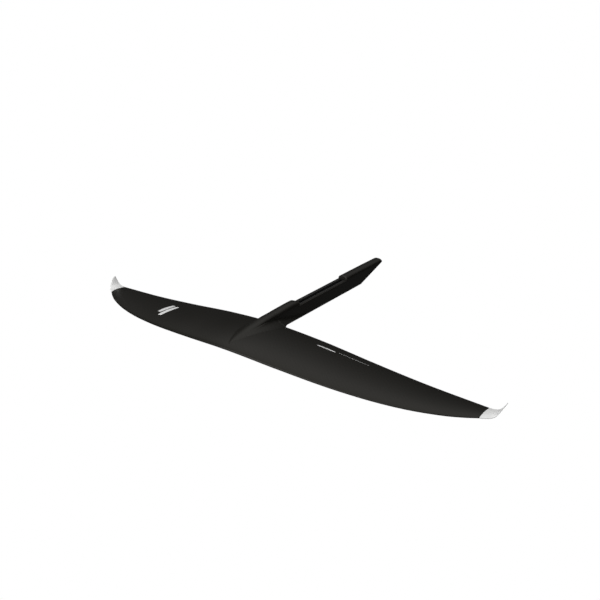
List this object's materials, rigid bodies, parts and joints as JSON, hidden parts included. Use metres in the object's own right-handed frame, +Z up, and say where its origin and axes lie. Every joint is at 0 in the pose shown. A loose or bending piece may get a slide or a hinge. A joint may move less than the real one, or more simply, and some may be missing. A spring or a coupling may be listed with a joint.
{
  "type": "hydrofoil front wing",
  "caption": "Hydrofoil front wing of carbon laminate with upturned white tips and a fuselage stub, slotted on top for the foot of a mast and slanted at the tail.",
  "frame": {"origin": "middle of the floor of the mast slot, on the centre plane, between the two mast bolts", "axes": "+X to the wing's right-hand tip, +Y aft along the fuselage stub, +Z up, out of the mast slot"},
  "size_m": [0.9612, 0.5355, 0.0625],
  "materials": {
    "carbon_satin": "satin",
    "carbon_structure": "satin",
    "white_paint": "satin",
    "foam": "matte",
    "stainless_steel": "satin"
  },
  "bodies": {
    "root": {"wing_top_skin": "carbon_satin", "wing_bottom_skin": "carbon_satin", "main_spar": "carbon_structure", "winglet_cap_right": "white_paint", "winglet_cap_left": "white_paint", "foam_core_front_right": "foam", "foam_core_front_left": "foam", "foam_core_rear_right": "foam", "foam_core_rear_left": "foam", "nose_fairing": "carbon_satin", "nose_core": "foam", "keel_fairing": "carbon_satin", "fuselage_shell_right": "carbon_satin", "fuselage_shell_left": "carbon_satin", "fuselage_core_front": "foam", "fuselage_core_mid": "foam", "fuselage_core_tail": "foam", "slot_front_block": "carbon_structure", "slot_rear_block": "carbon_structure", "slot_liner": "carbon_structure", "scarf_plate": "carbon_structure", "mast_bolt_ferrule_1": "stainless_steel", "mast_bolt_ferrule_2": "stainless_steel", "tail_insert_1": "stainless_steel", "tail_insert_2": "stainless_steel"}
  },
  "joints": []
}
